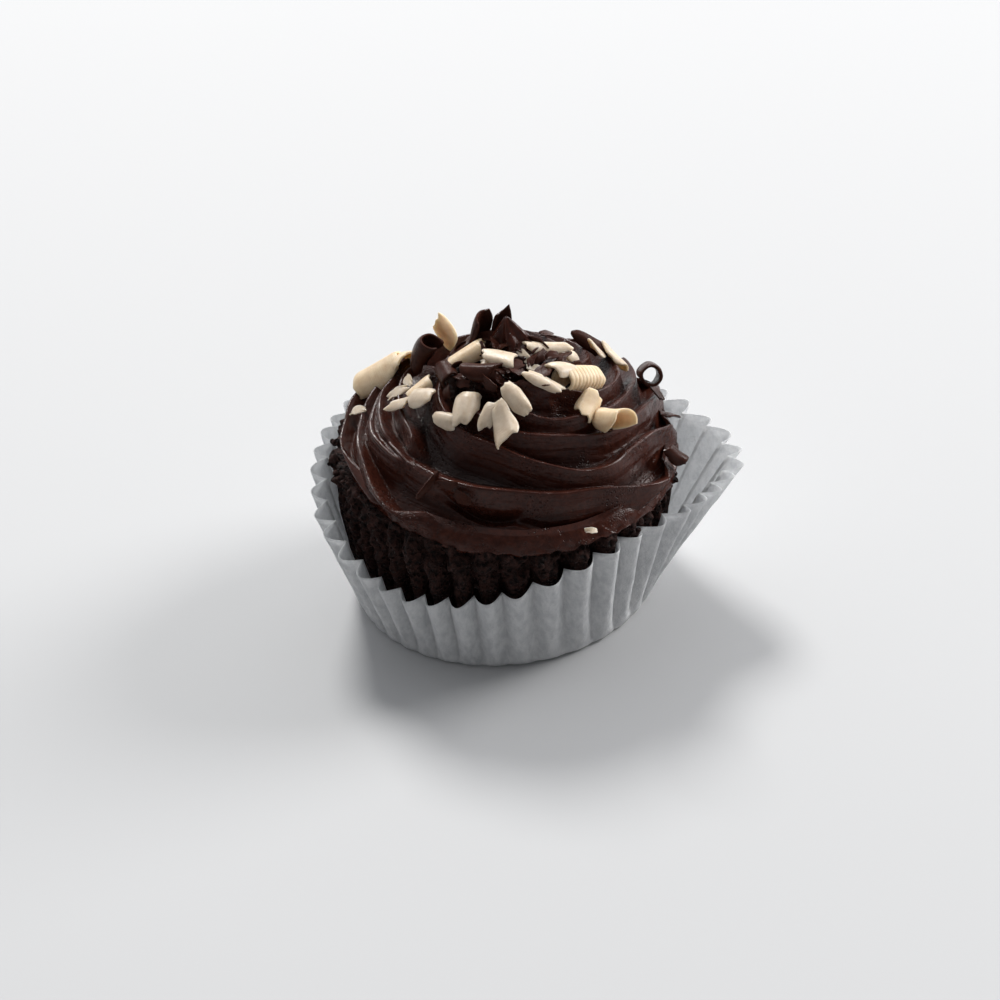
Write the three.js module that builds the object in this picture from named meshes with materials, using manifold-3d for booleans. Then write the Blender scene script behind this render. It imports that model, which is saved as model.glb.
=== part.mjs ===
// Chocolate cupcake in an opened paper case, with a piped swirl of frosting and chocolate curls.
// Millimetres, +Z up. The origin is the centre of the flat bottom of the paper case.
// Azimuth is counter-clockwise seen from above: 0 = right, 90 = back, 180 = left, 270 = front.
import * as THREE from 'three';
import { mergeVertices } from 'three/addons/utils/BufferGeometryUtils.js';
import Module from 'manifold-3d';

// ---- Driving dimensions ----
const BASE_RADIUS = 25;        // flat bottom of a standard 50 mm baking cup
const BASE_CORNER = 0.8;       // how far the corner between bottom and wall is rounded off
const PAPER = 0.4;             // paper wall
const GAP = 0.3;               // clearance kept between touching pieces
const PLEATS = 44;
const STEPS_PER_PLEAT = 4;
const PLEAT_DEPTH = 2.8;       // lobe to crease, at the rim
const PLEAT_AT_BASE = 0.12;    // share of that depth left at the bottom, which is nearly round
const PLEAT_RISE = 0.7;        // power by which the pleats deepen up the wall
// Where the pleats lie, closer together where the paper is gathered: [pleat, azimuth of its lobe].
const PLEAT_SPREAD = [
  [0, 17.5], [16, 155], [20, 188], [23, 210.8], [29, 263], [34, 317.5], [36, 334], [40, 351],
  [43, 369.4], [44, 377.5],
];
// The case is pulled open on the right and low at the front: [azimuth, lobe radius, height].
const RIM = [
  [0, 39.4, 23.2], [14, 34.8, 24.2], [35, 31.6, 23.9], [60, 30.4, 24.5], [95, 29.8, 25.6], [150, 29.4, 26.0],
  [180, 30.4, 24.7], [198, 31.3, 21.0], [215, 30.7, 17.2], [240, 29.5, 15.0], [262, 29.3, 16.0],
  [288, 29.7, 19.4], [308, 29.8, 20.5], [324, 30.2, 19.8], [338, 35.2, 20.9], [350, 40.3, 22.5],
];

const CAKE_FOOT = 24.2;        // radius of the cake low in the case
const CAKE_RADIUS = 27.6;      // radius of the crust
const CAKE_SHIFT = 1.3;        // how far the crust lies to the right of the foot
const CAKE_SWELL_HEIGHT = 20;  // height by which the side has swelled to the crust
const CAKE_SWELL_POWER = 0.8;
const CAKE_FLUTE = 2.0;        // flutes that the case pressed into the cake
const CAKE_CLEARANCE = 0.3;    // kept from the paper over the gap, for the flat facets
const CRAG = 0.9;              // roughness of the crust
const CRUST_SINK = 0.2;        // how far the crust's top edge lies under the frosting's gap
const CRUST_LEAST = 1.2;       // least height of crust that shows over the side in the case
const CRUST_UNEVEN = 0.15;     // share of the crust's height by which its middle goes up and down

const FROSTING_RADIUS = 28;
const FROSTING_HEIGHT = 22;    // bottom plane of the frosting to where its sides would meet
const FROSTING_BULGE = 3.5;    // height of its widest ring
const FROSTING_UNDERCUT = 1;
const BULGE_SHARE = 0.1;       // share of the outline's samples under the widest ring
const CONE_POWER = 1.12;       // 1 is a straight cone, more is domed
const TOP_RADIUS = 7;          // the cone ends in a nearly flat top
const TOP_RISE = 0.8;
const BACK_SQUASH = 0.06;      // share by which the back reaches less far out
const FROSTING_CENTRE = new THREE.Vector3(2.8, 0, 25.5);
const LEAN_RIGHT = 5;          // degrees that the frosting's plane drops to the right
const LEAN_FRONT = 3.2;        // and to the front
const CREST = 0.4;             // height of a piped ridge over the plain cone
const GROOVE = 2.6;            // how far the grooves sink under it
const CREST_BELOW = 5.4;       // width of the flank under a crest
const CREST_ABOVE = 1.3;       // width of the steep side over it
const FLANK_POWER = 1.3;       // how hollow the flank is
const RIDGE_END = 12;          // degrees over which a ridge rises from nothing
const FOOT_FADE = 2.5;         // the ridges die out this near the bottom edge
const TIP_FADE = 4;            // and this near the tip

// Piped ridges: each runs counter-clockwise and down. [azimuth, distance up the slope from the edge].
const RIDGES = [
  [[20, 27.5], [60, 21.5], [85, 16], [105, 11.9], [150, 6.4], [179, 4.2], [207, 2.5], [225, 1.4]],
  [[70, 27.5], [100, 19.7], [120, 14.7], [150, 10.5], [179, 7.8], [199, 6.3], [218, 4.1], [240, 1.4]],
  [[150, 13.3], [178, 10.4], [191, 9.9], [224, 11.4]],
  [[60, 30.2], [100, 21.1], [140, 14.2], [181, 11.8], [222, 11.7], [249, 12.2], [277, 11.7], [306, 9.3],
    [328, 4.9], [342, 3.1]],
  [[140, 18], [158, 16], [192, 15.3], [205, 15.1], [221, 12.6]],
  [[155, 25.3], [226, 20.6], [257, 19.2], [279, 16.6], [299, 13.6], [314, 12.5], [331, 11.8],
    [346, 10.1], [356, 6.9], [368, 3.7]],
  [[218, 25.2], [264, 22], [303, 19.7], [322, 16.9], [336, 15.5], [353, 13.1], [365, 10.7],
    [385, 4.5], [395, 2.3]],
  [[253, 27.6], [284, 24.1], [318, 21.2], [350, 17.5], [366, 14.7], [384, 10.7], [395, 8.2], [412, 3.2]],
  [[200, 30.5], [252, 30.9], [284, 29.6], [319, 26.6], [349, 21.3], [387, 14.4], [405, 11.9],
    [430, 6.4], [445, 2.7]],
  [[355, 29], [386, 21.1], [400, 17.9], [430, 13.3], [455, 8.2], [475, 3.7]],
];

// Folded peak where the piping ended: azimuth and distance up the slope, foot radius, height.
const PEAK = { azimuth: 93, distance: 31.6, radius: 3.2, height: 5.6, sunk: 1.2, folds: 4, foldDepth: 0.28 };
const PEAK_ROWS = 5;
const PEAK_COLUMNS = 16;
const PEAK_HOLLOW = 0.75;      // power of its side: under 1 is hollow

// Curls: azimuth and distance up the slope of the middle, heading of the long axis (0 = along the
// azimuth, 90 = up the slope), length, width across the sheet, how far the sheet is rolled (degrees),
// taper of the far end, pitch and lean (degrees), lift of the middle off the cone.
const WHITE_CURLS = [
  [147, 13.0, 60, 8.0, 6.5, 150, 0.2, 12, -20, 0.8],
  [154, 9.3, 108, 8.5, 7.0, 150, -0.5, 0, 15, 0.7],
  [130, 19.0, 0, 5.4, 4.2, 110, 0.8, 75, -126, 2.4],
  [162, 27.8, 119, 7.0, 4.6, 180, -0.2, 0, 0, -0.1],
  [196, 33.5, 45, 5.4, 3.6, 90, -0.3, 0, 0, -0.3],
  [24, 30.3, -102, 7.2, 3.6, 130, 0.3, 0, 0, -0.1],
  [16, 26.8, -81, 4.6, 3.0, 110, 0.2, 0, 10, -0.2],
  [37, 17.0, 70, 4.6, 3.6, 100, 0.9, 25, 0, 0.4],
  [32, 14.0, 25, 5.4, 2.8, 110, -0.6, 10, 20, 0.4],
  [342, 28.3, -46, 5.0, 5.0, 130, 0.4, 0, -35, 0.3],
  [349, 24.8, -48, 8.4, 9.2, 290, 0.15, 0, 0, 0.6],
  [303, 29.0, -49, 6.4, 2.8, 70, 0.6, 0, 0, -0.2],
  [328, 21.7, 11, 4.6, 4.0, 140, -0.4, 10, 0, 0.0],
  [327, 18.0, -122, 6.4, 7.6, 270, -0.5, 60, 0, 2.6],
  [268, 26.7, -43, 5.8, 4.2, 60, 0.9, 5, 0, 0.0],
  [226, 23.2, -64, 5.6, 5.4, 150, 0.4, 5, 0, 0.1],
  [218, 20.2, 20, 4.0, 3.2, 120, 0.2, 0, 0, -0.2],
  [246, 23.8, 83, 4.6, 3.2, 90, 0.8, 10, 0, -0.1],
  [260, 22.8, -66, 6.4, 3.6, 80, -0.7, 5, 20, 0.0],
  [181, 19.5, -68, 4.6, 3.6, 130, 0.4, 5, 0, 0.0],
  [194, 19.7, 35, 4.8, 3.2, 60, -0.7, 0, 0, -0.2],
  [186, 15.8, 64, 4.0, 2.6, 70, 0.3, 0, 0, -0.1],
];
const DARK_CURLS = [
  [152, 18.5, 85, 7.0, 8.8, 230, 0.15, 42, 0, 2.0],
  [182, 24.4, 15, 5.0, 5.6, 220, 0.1, 5, 20, 0.4],
  [208, 29.7, 49, 5.8, 5.2, 180, 0.2, 0, -10, 0.0],
  [128, 28.2, 108, 5.6, 6.4, 130, 0.35, 55, 0, 1.7],
  [104, 29.0, 90, 5.2, 4.8, 170, 0.3, 62, 0, 1.7],
  [42, 15.5, 31, 5.8, 5.0, 240, 0.2, 5, 0, 1.2],
  [15, 11.2, 152, 4.6, 8.6, 320, 0, 18, 0, 3.4],
  [343, 4.8, 104, 4.2, 4.2, 240, 0.1, 10, 0, 0.0],
  [93, 15.1, 20, 5.6, 4.6, 190, 0.3, 5, 0, -0.5],
];
const CURL_SHEET = 0.8;        // thickness of a curl
const CURL_STEPS = 4;          // facets along a curl
const CURL_BEND = 50;          // degrees of roll for each facet across it, at most
const FEWEST_BENDS = 3;
const END_ROUNDING = 0.85;     // how much narrower a flat curl is at its ends; a full tube is cut straight
const END_POWER = 3;           // how suddenly it narrows there
const CURL_SINK = 0.6;         // share of its radius by which a roll's axis lies under its place

// Small flakes and shards stuck in the frosting: azimuth, distance up the slope, heading, length,
// width, lean (degrees), height of the middle over the cone.
const FLAKES = [
  [167, 16.8, 32, 3.4, 1.8, 20, 0.1], [174, 15.2, 87, 3.8, 1.8, 15, 0.1], [172, 7.0, 63, 3.2, 1.7, 10, 0],
  [26, 35.2, -170, 3.4, 2.0, 30, -0.3], [317, 31.8, -63, 3.2, 1.4, 10, -0.2],
  [193, 31.8, 61, 2.6, 1.2, 0, -0.3], [293, 4.0, -15, 1.9, 1.0, 0, 0], [231, 9.8, 80, 5.0, 1.4, 70, 0.2],
  [239, 11.1, 15, 3.4, 1.6, 40, 0.4], [246, 9.8, -20, 3.2, 1.8, 20, 0], [2, 6.5, 123, 3.6, 2.2, 35, 0.2],
  [200, 23.7, -21, 3.0, 2.0, 30, 0.1], [205, 26.3, 36, 2.6, 1.8, 20, 0.1],
  [233, 28.7, -13, 3.0, 1.8, 40, 0.1], [64, 19.5, -104, 4.2, 1.8, 20, 0.3],
  [120, 22.0, 10, 3.2, 1.6, 20, 0.1], [55, 13.7, 70, 3.0, 1.6, 15, 0.2], [88, 11.4, -30, 2.8, 1.5, 20, 0.2],
  [13, 9.0, 30, 4.0, 2.2, 0, 0.5],
];
const FLAKE_SHEET = 0.7;
const FLAKE_POINT = 0.35;      // how much narrower a flake is at its ends
const FLAKE_BOW = 0.3;         // how far its ends droop

const wasm = await Module();
wasm.setup();
const rad = THREE.MathUtils.degToRad;

// ---- Curves and noise ----

// Periodic or open curve through [azimuth, value...] rows, with the slope at a row taken from its
// two neighbours.
function curveThrough(rows, column, periodic) {
  const count = rows.length;
  const turn = (k) => (periodic ? Math.floor(k / count) : 0);
  const row = (k) => rows[periodic ? ((k % count) + count) % count : THREE.MathUtils.clamp(k, 0, count - 1)];
  const at = (k) => row(k)[0] + 360 * turn(k);
  const slope = (k) => (row(k + 1)[column] - row(k - 1)[column]) / Math.max(at(k + 1) - at(k - 1), 1e-6);
  return (azimuth) => {
    const angle = periodic ? ((azimuth % 360) + 360) % 360 : azimuth;
    let k = count - 1;
    while (k > 0 && at(k) > angle) k -= 1;
    if (!periodic) k = Math.min(k, count - 2);
    const span = at(k + 1) - at(k);
    const t = (angle - at(k)) / span;
    const a = row(k)[column];
    const b = row(k + 1)[column];
    return a * (2 * t ** 3 - 3 * t * t + 1) + slope(k) * span * (t ** 3 - 2 * t * t + t)
      + b * (3 * t * t - 2 * t ** 3) + slope(k + 1) * span * (t ** 3 - t * t);
  };
}

const rimRadius = curveThrough(RIM, 1, true);
const rimHeight = curveThrough(RIM, 2, true);

const pleatAzimuth = curveThrough(PLEAT_SPREAD, 1, false);

// Rounded lobes outward and sharp creases inward: 0 on a lobe, at a whole pleat, and 1 in a crease.
const crease = (pleat) => 1 - Math.abs(Math.cos(Math.PI * pleat));

// Seeded random numbers.
function randomFrom(seed) {
  let state = seed;
  return () => {
    state = (state * 1664525 + 1013904223) % 4294967296;
    return state / 4294967296;
  };
}

// ---- Closed meshes ----

// Position-only mesh with shared vertices and no collapsed triangles.
function weld(geometry) {
  const bare = geometry.clone();
  bare.deleteAttribute('normal');
  bare.deleteAttribute('uv');
  const merged = mergeVertices(bare, 1e-4);
  const index = Array.from(merged.index.array);
  const kept = [];
  for (let k = 0; k < index.length; k += 3) {
    const [a, b, c] = index.slice(k, k + 3);
    if (a !== b && b !== c && a !== c) kept.push(a, b, c);
  }
  merged.setIndex(kept);
  return merged;
}

// A turned solid whose rings are then placed by place(share of the turn, row): a lathe of `rows`
// rings, the first and the last of them single points on the axis.
function turned(rows, columns, place) {
  const profile = [];
  for (let row = 0; row < rows; row += 1) {
    const radius = row === 0 || row === rows - 1 ? 0 : 1;
    profile.push(new THREE.Vector2(radius, row));
  }
  const lathe = new THREE.LatheGeometry(profile, columns);
  const position = lathe.attributes.position;
  for (let k = 0; k < position.count; k += 1) {
    const row = k % rows;
    const column = Math.floor(k / rows) % columns;
    const point = place(column / columns, row);
    position.setXYZ(k, point.x, point.y, point.z);
  }
  return weld(lathe);
}

const polar = (radius, azimuth, z) => new THREE.Vector3(
  radius * Math.cos(rad(azimuth)), radius * Math.sin(rad(azimuth)), z);

function toManifold(geometry) {
  const mesh = new wasm.Mesh({
    numProp: 3,
    vertProperties: new Float32Array(geometry.attributes.position.array),
    triVerts: new Uint32Array(geometry.index.array),
  });
  return new wasm.Manifold(mesh);
}

function toGeometry(manifold) {
  const mesh = manifold.getMesh();
  const geometry = new THREE.BufferGeometry();
  geometry.setAttribute('position', new THREE.BufferAttribute(new Float32Array(mesh.vertProperties), 3));
  geometry.setIndex(Array.from(mesh.triVerts));
  return geometry;
}

const largestPiece = (manifold) => manifold.decompose()
  .reduce((best, piece) => (piece.volume() > best.volume() ? piece : best));

// ---- Paper case ----

const CASE_LEVELS = [0.12, 0.55, 1];   // heights of the wall's rings, as shares of the rim's height

// Wall point at a pleat number and a share of the height; inset moves it inward from the outer face.
function casePoint(pleat, level, inset) {
  const azimuth = pleatAzimuth(pleat);
  const flare = (rimRadius(azimuth) - BASE_RADIUS) * level;
  const depth = PLEAT_DEPTH * (PLEAT_AT_BASE + (1 - PLEAT_AT_BASE) * level ** PLEAT_RISE);
  return polar(BASE_RADIUS + flare - depth * crease(pleat) - inset, azimuth, rimHeight(azimuth) * level);
}

function paperCase() {
  const outer = CASE_LEVELS.map((level) => (pleat) => casePoint(pleat, level, 0));
  const inner = CASE_LEVELS.map((level) => (pleat) => casePoint(pleat, level, PAPER));
  const bottomRadius = BASE_RADIUS - BASE_CORNER;
  const rings = [
    () => new THREE.Vector3(0, 0, 0),
    (pleat) => polar(bottomRadius, pleatAzimuth(pleat), 0),
    ...outer,
    ...inner.reverse(),
    (pleat) => polar(bottomRadius - PAPER, pleatAzimuth(pleat), PAPER),
    () => new THREE.Vector3(0, 0, PAPER),
  ];
  return turned(rings.length, PLEATS * STEPS_PER_PLEAT, (share, row) => rings[row](PLEATS * share));
}

// ---- Frosting ----

const lean = new THREE.Matrix4().makeRotationX(rad(LEAN_FRONT))
  .multiply(new THREE.Matrix4().makeRotationY(rad(LEAN_RIGHT)));
const frostingFrame = new THREE.Matrix4().makeTranslation(FROSTING_CENTRE).multiply(lean);

// Plain outline of the frosting, walked from its bottom edge up to the tip.
const OUTLINE_SAMPLES = 400;

function outlinePoint(t) {
  const low = Math.min(t / BULGE_SHARE, 1);
  if (low < 1) {
    return { radius: FROSTING_RADIUS - FROSTING_UNDERCUT * (1 - low) ** 2, height: FROSTING_BULGE * low };
  }
  const radius = FROSTING_RADIUS * (1 - t) / (1 - BULGE_SHARE);
  const slope = (Math.max(radius, TOP_RADIUS) / FROSTING_RADIUS) ** CONE_POWER;
  const top = TOP_RISE * (1 - Math.min(radius / TOP_RADIUS, 1) ** 2);
  return { radius, height: FROSTING_BULGE + (FROSTING_HEIGHT - FROSTING_BULGE) * (1 - slope) + top };
}

const outline = [{ ...outlinePoint(0), run: 0 }];
for (let k = 1; k <= OUTLINE_SAMPLES; k += 1) {
  const point = outlinePoint(k / OUTLINE_SAMPLES);
  const last = outline[k - 1];
  const run = last.run + Math.hypot(point.radius - last.radius, point.height - last.height);
  outline.push({ ...point, run });
}
const SLOPE_LENGTH = outline[OUTLINE_SAMPLES].run;
const TIP_HEIGHT = outline[OUTLINE_SAMPLES].height;

// Radius, height and outward direction of the plain outline at a distance up the slope.
function outlineAt(azimuth, distance) {
  const wanted = THREE.MathUtils.clamp(distance, 0, SLOPE_LENGTH);
  let k = 1;
  while (k < OUTLINE_SAMPLES && outline[k].run < wanted) k += 1;
  const a = outline[k - 1];
  const b = outline[k];
  const t = (wanted - a.run) / (b.run - a.run);
  const run = b.run - a.run;
  const squash = 1 - BACK_SQUASH * Math.max(0, Math.sin(rad(azimuth))) ** 2;
  return {
    radius: THREE.MathUtils.lerp(a.radius, b.radius, t) * squash,
    height: THREE.MathUtils.lerp(a.height, b.height, t),
    outR: (b.height - a.height) / run,
    outZ: -(b.radius - a.radius) / run,
  };
}

const ridgeCurves = RIDGES.map((rows) => ({
  start: rows[0][0],
  end: rows[rows.length - 1][0],
  distance: curveThrough(rows, 1, false),
}));

// How far the piped surface stands up from its grooves, 0 to 1: a hollow flank rises to each crest
// and a steep side falls behind it.
function crestAt(azimuth, distance) {
  let highest = 0;
  for (const ridge of ridgeCurves) {
    for (const angle of [azimuth, azimuth + 360]) {
      if (angle < ridge.start || angle > ridge.end) continue;
      const off = distance - ridge.distance(angle);
      const share = off > 0 ? Math.max(0, 1 - off / CREST_ABOVE)
        : Math.max(0, 1 + off / CREST_BELOW) ** FLANK_POWER;
      const ends = Math.min(1, (angle - ridge.start) / RIDGE_END, (ridge.end - angle) / RIDGE_END);
      highest = Math.max(highest, share * ends);
    }
  }
  return highest;
}

// Point on the piped surface, in the frosting's own frame.
function pipedPoint(azimuth, distance, grow) {
  const { radius, height, outR, outZ } = outlineAt(azimuth, distance);
  const fade = Math.min(1, distance / FOOT_FADE, (SLOPE_LENGTH - distance) / TIP_FADE);
  const out = fade * (crestAt(azimuth, distance) * (CREST + GROOVE) - GROOVE) + grow;
  return polar(radius + outR * out, azimuth, height + outZ * out);
}

const FROSTING_ROWS = 26;
const FROSTING_COLUMNS = 64;
const TWIST = 6;                // degrees a column of facets turns back for each mm up, along the ridges

function frostingSwirl(grow) {
  const rows = FROSTING_ROWS + 2;
  return turned(rows, FROSTING_COLUMNS, (share, row) => {
    const distance = SLOPE_LENGTH * (row - 1) / FROSTING_ROWS;
    let point = new THREE.Vector3(0, 0, row === 0 ? -grow : TIP_HEIGHT + grow);
    if (row === 1) {
      point = polar(outlineAt(360 * share, 0).radius + grow, 360 * share, -grow);
    } else if (row > 1 && row < rows - 1) {
      point = pipedPoint((360 * share - TWIST * distance + 720) % 360, distance, grow);
    }
    return point.applyMatrix4(frostingFrame);
  });
}

// Frame that lies on the plain cone: x along the heading, z outward.
function slopeFrame(azimuth, distance, heading, lift) {
  const { radius, height, outR, outZ } = outlineAt(azimuth, distance);
  const around = new THREE.Vector3(-Math.sin(rad(azimuth)), Math.cos(rad(azimuth)), 0);
  const out = polar(outR, azimuth, outZ);
  const up = new THREE.Vector3().crossVectors(out, around);
  const origin = polar(radius, azimuth, height).addScaledVector(out, lift);
  const frame = new THREE.Matrix4().makeBasis(around, up, out).setPosition(origin);
  frame.multiply(new THREE.Matrix4().makeRotationZ(rad(heading)));
  return new THREE.Matrix4().multiplyMatrices(frostingFrame, frame);
}

// Soft peak with folds down its side, its foot sunk in the frosting.
function peak(grow) {
  const geometry = turned(PEAK_ROWS + 1, PEAK_COLUMNS, (share, row) => {
    const up = Math.max(0, row - 1) / (PEAK_ROWS - 1);
    const fold = 1 + PEAK.foldDepth * Math.cos(2 * Math.PI * share * PEAK.folds) * (1 - up);
    const onAxis = row === 0 || row === PEAK_ROWS;
    const radius = onAxis ? 0 : (PEAK.radius * (1 - up) ** PEAK_HOLLOW) * fold + grow;
    return polar(radius, 360 * share, PEAK.height * up - PEAK.sunk + (onAxis && row > 0 ? grow : 0));
  });
  geometry.applyMatrix4(slopeFrame(PEAK.azimuth, PEAK.distance, 0, 0));
  return toManifold(geometry);
}

function flake([azimuth, distance, heading, length, width, tilt, height]) {
  const chip = new THREE.BoxGeometry(length, width, FLAKE_SHEET, 2, 1, 1);
  const position = chip.attributes.position;
  for (let k = 0; k < position.count; k += 1) {
    const fromMiddle = Math.abs(position.getX(k)) / (length / 2);
    position.setY(k, position.getY(k) * (1 - FLAKE_POINT * fromMiddle));
    position.setZ(k, position.getZ(k) - FLAKE_BOW * fromMiddle ** 2);
  }
  chip.applyMatrix4(new THREE.Matrix4().makeRotationX(rad(tilt)));
  chip.applyMatrix4(slopeFrame(azimuth, distance, heading, height));
  return toManifold(weld(chip));
}

// The swirl with its peak, then each flake that reaches it.
function frosting() {
  let body = toManifold(frostingSwirl(0)).add(peak(0));
  for (const row of FLAKES) {
    const joined = body.add(flake(row));
    body = joined.decompose().length === 1 ? joined : body;
  }
  return body;
}

// ---- Chocolate curls ----

// A thin sheet rolled about its long axis, thicker and longer all round by grow.
function curl([azimuth, distance, heading, length, width, roll, taper, pitch, tilt, lift], grow) {
  const thick = CURL_SHEET + 2 * grow;
  const bends = Math.max(FEWEST_BENDS, Math.ceil(roll / CURL_BEND));
  const sheet = new THREE.BoxGeometry(length + 2 * grow, width + 2 * grow, thick, CURL_STEPS, bends, 1);
  const position = sheet.attributes.position;
  const turnPerMm = rad(roll) / width;
  const rounding = END_ROUNDING * (1 - roll / 360);
  for (let k = 0; k < position.count; k += 1) {
    const x = position.getX(k);
    const fromMiddle = Math.abs(x) / (length / 2 + grow);
    const narrow = 1 - taper * (x / length + 0.5) / 2;
    const angle = position.getY(k) * (1 - rounding * fromMiddle ** END_POWER) * turnPerMm;
    const middle = narrow / turnPerMm;
    const radius = middle + position.getZ(k);
    position.setXYZ(k, x, radius * Math.sin(angle), radius * Math.cos(angle) - CURL_SINK * middle);
  }
  sheet.applyMatrix4(new THREE.Matrix4().makeRotationX(rad(tilt)));
  sheet.applyMatrix4(new THREE.Matrix4().makeRotationY(rad(-pitch)));
  sheet.applyMatrix4(slopeFrame(azimuth, distance, heading, lift));
  return toManifold(weld(sheet));
}

// ---- Cake ----

const STEPS_PER_FLUTE = 2;
const CAKE_COLUMNS = PLEATS * STEPS_PER_FLUTE;
const BUMP_SEED = 7;
const BUMP_RINGS = 4;

// Crust roughness, the same every time: a random bump from -1 to 1 for each column of each ring.
const bumps = (() => {
  const random = randomFrom(BUMP_SEED);
  return Array.from({ length: CAKE_COLUMNS * BUMP_RINGS }, () => random() * 2 - 1);
})();
const bump = (pleat, ring) => bumps[Math.round(pleat * STEPS_PER_FLUTE) + ring * CAKE_COLUMNS];

// Height of the frosting's bottom plane, less a drop square to it, over a point.
function frostingPlane(x, y, drop) {
  const normal = new THREE.Vector3(0, 0, 1).applyMatrix4(lean);
  const level = FROSTING_CENTRE.clone().addScaledVector(normal, -drop);
  return level.z - (normal.x * (x - level.x) + normal.y * (y - level.y)) / normal.z;
}

// Point of the cake's side, held clear of the paper wherever it is no higher than the rim.
function cakePoint(pleat, radius, z) {
  const azimuth = pleatAzimuth(pleat);
  const level = z / rimHeight(azimuth);
  const wall = casePoint(pleat, level, PAPER + GAP + CAKE_CLEARANCE);
  return polar(level > 1 ? radius : Math.min(radius, Math.hypot(wall.x, wall.y)), azimuth, z);
}

function cake() {
  const foot = PAPER + GAP;
  const crustRadius = (pleat) => CAKE_RADIUS + CAKE_SHIFT * Math.cos(rad(pleatAzimuth(pleat)));
  const edge = (pleat) => {
    const radius = crustRadius(pleat) + CRAG * (bump(pleat, 2) - 1) / 2;
    const over = polar(radius, pleatAzimuth(pleat), 0);
    return cakePoint(pleat, radius, frostingPlane(over.x, over.y, GAP) - CRUST_SINK);
  };
  const inCase = CASE_LEVELS.map((level) => (pleat) => {
    const ceiling = edge(pleat).z - CRUST_LEAST;
    const z = THREE.MathUtils.clamp(rimHeight(pleatAzimuth(pleat)) * level, foot, ceiling);
    const swell = Math.min(1, z / CAKE_SWELL_HEIGHT) ** CAKE_SWELL_POWER;
    const side = CAKE_FOOT + (crustRadius(pleat) - CAKE_FOOT) * swell - CAKE_FLUTE * crease(pleat);
    return cakePoint(pleat, side, z);
  });
  const halfway = (pleat) => {
    const radius = crustRadius(pleat) - CAKE_FLUTE * crease(pleat) / 2 + CRAG * bump(pleat, 0);
    const low = inCase[inCase.length - 1](pleat).z;
    const rise = edge(pleat).z - low;
    return cakePoint(pleat, radius, low + rise * (0.5 + CRUST_UNEVEN * bump(pleat, 1)));
  };
  const rings = [
    () => new THREE.Vector3(0, 0, foot),
    (pleat) => polar(CAKE_FOOT - CAKE_FLUTE, pleatAzimuth(pleat), foot),
    ...inCase,
    halfway,
    edge,
    () => new THREE.Vector3(0, 0, frostingPlane(0, 0, GAP)),
  ];
  return turned(rings.length, CAKE_COLUMNS, (share, row) => rings[row](PLEATS * share));
}

// ---- The object ----

const paint = (color, roughness) => new THREE.MeshStandardMaterial({ color, roughness, metalness: 0 });
const group = new THREE.Group();

function addPiece(name, geometry, material) {
  const mesh = new THREE.Mesh(geometry, material);
  mesh.name = name;
  group.add(mesh);
}

addPiece('paper_case', paperCase(), paint(0xe9e9e6, 0.7));
addPiece('cake', cake(), paint(0x1a100c, 0.85));
addPiece('frosting', toGeometry(frosting()), paint(0x3b201a, 0.4));

// A curl rests clear of the frosting and of the curls laid before it.
const clearOfFrosting = toManifold(frostingSwirl(GAP));
const laid = [clearOfFrosting, peak(GAP), ...FLAKES.map((row) => flake(row))];

function layCurls(rows, name, material) {
  rows.forEach((row, k) => {
    let body = curl(row, 0);
    for (const other of laid) body = body.subtract(other);
    laid.push(curl(row, GAP));
    addPiece(`${name}_${k + 1}`, toGeometry(largestPiece(body)), material);
  });
}

layCurls(WHITE_CURLS, 'white_curl', paint(0xe8dcc0, 0.45));
layCurls(DARK_CURLS, 'dark_curl', paint(0x35201a, 0.35));

export default group;
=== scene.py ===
import math
import random

import bmesh
import bpy
import numpy as np
from mathutils import Matrix, Vector, noise


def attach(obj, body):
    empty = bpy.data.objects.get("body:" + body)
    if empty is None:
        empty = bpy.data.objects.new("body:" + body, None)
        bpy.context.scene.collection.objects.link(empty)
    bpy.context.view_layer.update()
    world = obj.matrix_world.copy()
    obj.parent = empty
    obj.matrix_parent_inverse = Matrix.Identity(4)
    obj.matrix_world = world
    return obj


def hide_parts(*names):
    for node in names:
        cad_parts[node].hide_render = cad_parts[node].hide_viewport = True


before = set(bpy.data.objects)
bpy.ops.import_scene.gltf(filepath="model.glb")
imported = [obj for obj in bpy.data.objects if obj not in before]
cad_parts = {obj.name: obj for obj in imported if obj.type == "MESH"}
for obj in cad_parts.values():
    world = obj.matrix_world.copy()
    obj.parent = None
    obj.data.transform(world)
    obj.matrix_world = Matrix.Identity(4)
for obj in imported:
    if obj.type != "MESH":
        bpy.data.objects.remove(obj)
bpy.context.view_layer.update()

# A chocolate cupcake in an opened paper case. The shapes below are worked out in millimetres, +Z up,
# with the origin at the centre of the case's flat bottom, and put into the meshes in metres.
# Azimuth is counter-clockwise seen from above: 0 = right, 90 = back, 180 = left, 270 = front.
MM = 0.001

# ---- Sizes shared with the solids ----
BASE_RADIUS = 25         # of the case's flat bottom
PLEATS = 44
PLEAT_DEPTH = 2.8        # at the rim
PLEAT_AT_BASE = 0.12     # share of that depth at the bottom
PLEAT_RISE = 0.7         # power by which the pleats deepen up the wall
# Where the pleats lie: [pleat, azimuth of its lobe].
PLEAT_SPREAD = [
    [0, 17.5], [16, 155], [20, 188], [23, 210.8], [29, 263], [34, 317.5], [36, 334], [40, 351],
    [43, 369.4], [44, 377.5],
]
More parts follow.
